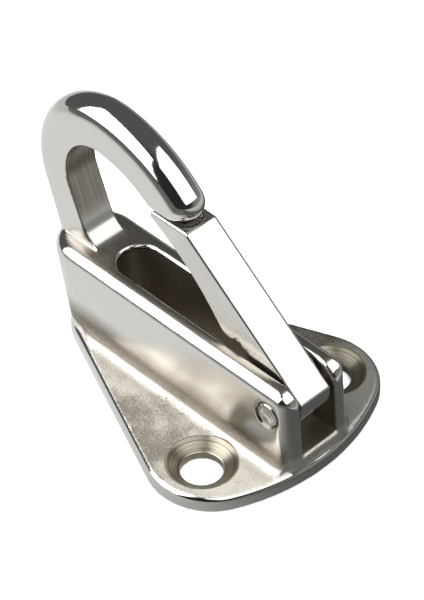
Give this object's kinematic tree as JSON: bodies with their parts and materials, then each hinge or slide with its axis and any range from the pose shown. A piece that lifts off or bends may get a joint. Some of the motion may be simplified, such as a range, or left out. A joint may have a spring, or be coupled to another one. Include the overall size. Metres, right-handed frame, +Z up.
{
  "type": "deck hook",
  "caption": "Stainless deck hook: a cast hook on a countersunk base plate, with a sprung gate that closes its mouth and folds down into a slot.",
  "frame": {"origin": "on the deck, midway between the two screw holes", "axes": "+Z up from the deck, +X from the hook's stem towards the gate's hinge, Y from one screw hole to the other"},
  "size_m": [0.0547, 0.039, 0.0409],
  "materials": {
    "cast_stainless": "polished over a fine cast grain",
    "gate_stainless": "polished, with satin sides",
    "pin_stainless": "riveted and polished flush",
    "spring_wire": "bright drawn wire"
  },
  "bodies": {
    "base": {"hook_body": "cast_stainless", "pivot_pin": "pin_stainless", "torsion_spring": "spring_wire"},
    "gate": {"spring_gate": "gate_stainless"}
  },
  "joints": [
    {"name": "gate_hinge", "type": "hinge", "parent": "base", "child": "gate", "pos_m": [0.00595, 0, 0.01095], "axis": [0, -1, 0], "range_deg": [0, 46], "stiffness_Nm_per_rad": 0.06, "springref_deg": -28.65, "deforming": ["torsion_spring"]}
  ]
}
